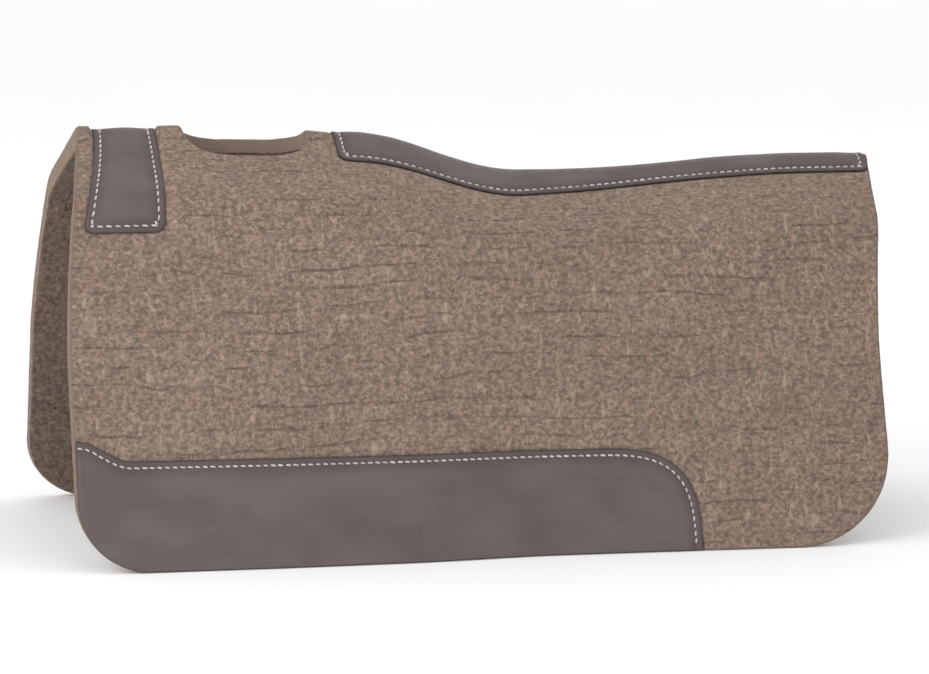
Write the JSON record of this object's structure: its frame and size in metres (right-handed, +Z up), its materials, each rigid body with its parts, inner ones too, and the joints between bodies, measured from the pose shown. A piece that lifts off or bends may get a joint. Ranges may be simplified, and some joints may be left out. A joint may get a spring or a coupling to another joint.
{
  "type": "contoured felt saddle pad",
  "caption": "Contoured wool felt Western saddle pad with a wither vent, leather wither strap, leather spine strip and stitched wear leathers, standing on its lower edges.",
  "frame": {"origin": "on the ground under the middle of the pad's box", "axes": "+X along the spine towards the tail, -Y the horse's left flank, +Z up"},
  "size_m": [0.8115, 0.4742, 0.397],
  "materials": {
    "felt": "pressed wool felt, mottled grey-brown, fibrous and matt",
    "leather": "smooth dark brown grained leather, satin, darker burnished edges",
    "thread": "heavy bonded off-white thread"
  },
  "bodies": {
    "left_flank": {"felt_left": "felt", "wear_leather_left": "leather", "wear_leather_left_thread": "thread", "wear_leather_left_bobbin_thread": "thread", "wither_strap": "leather", "spine_strip": "leather", "wither_strap_thread": "thread", "wither_strap_bobbin_thread": "thread", "spine_strip_thread": "thread", "spine_strip_bobbin_thread": "thread", "spine_join_thread_front": "thread", "spine_join_thread_rear": "thread"},
    "right_flank": {"felt_right": "felt", "wear_leather_right": "leather", "wear_leather_right_thread": "thread", "wear_leather_right_bobbin_thread": "thread"}
  },
  "joints": [
    {"name": "spine_fold", "type": "hinge", "parent": "left_flank", "child": "right_flank", "pos_m": [0, 0, 0.3612], "axis": [0.9981, 0, -0.0619], "range_deg": [-8, 18], "deforming": ["wither_strap", "spine_strip", "wither_strap_thread", "wither_strap_bobbin_thread", "spine_strip_thread", "spine_strip_bobbin_thread", "spine_join_thread_front", "spine_join_thread_rear"]}
  ]
}
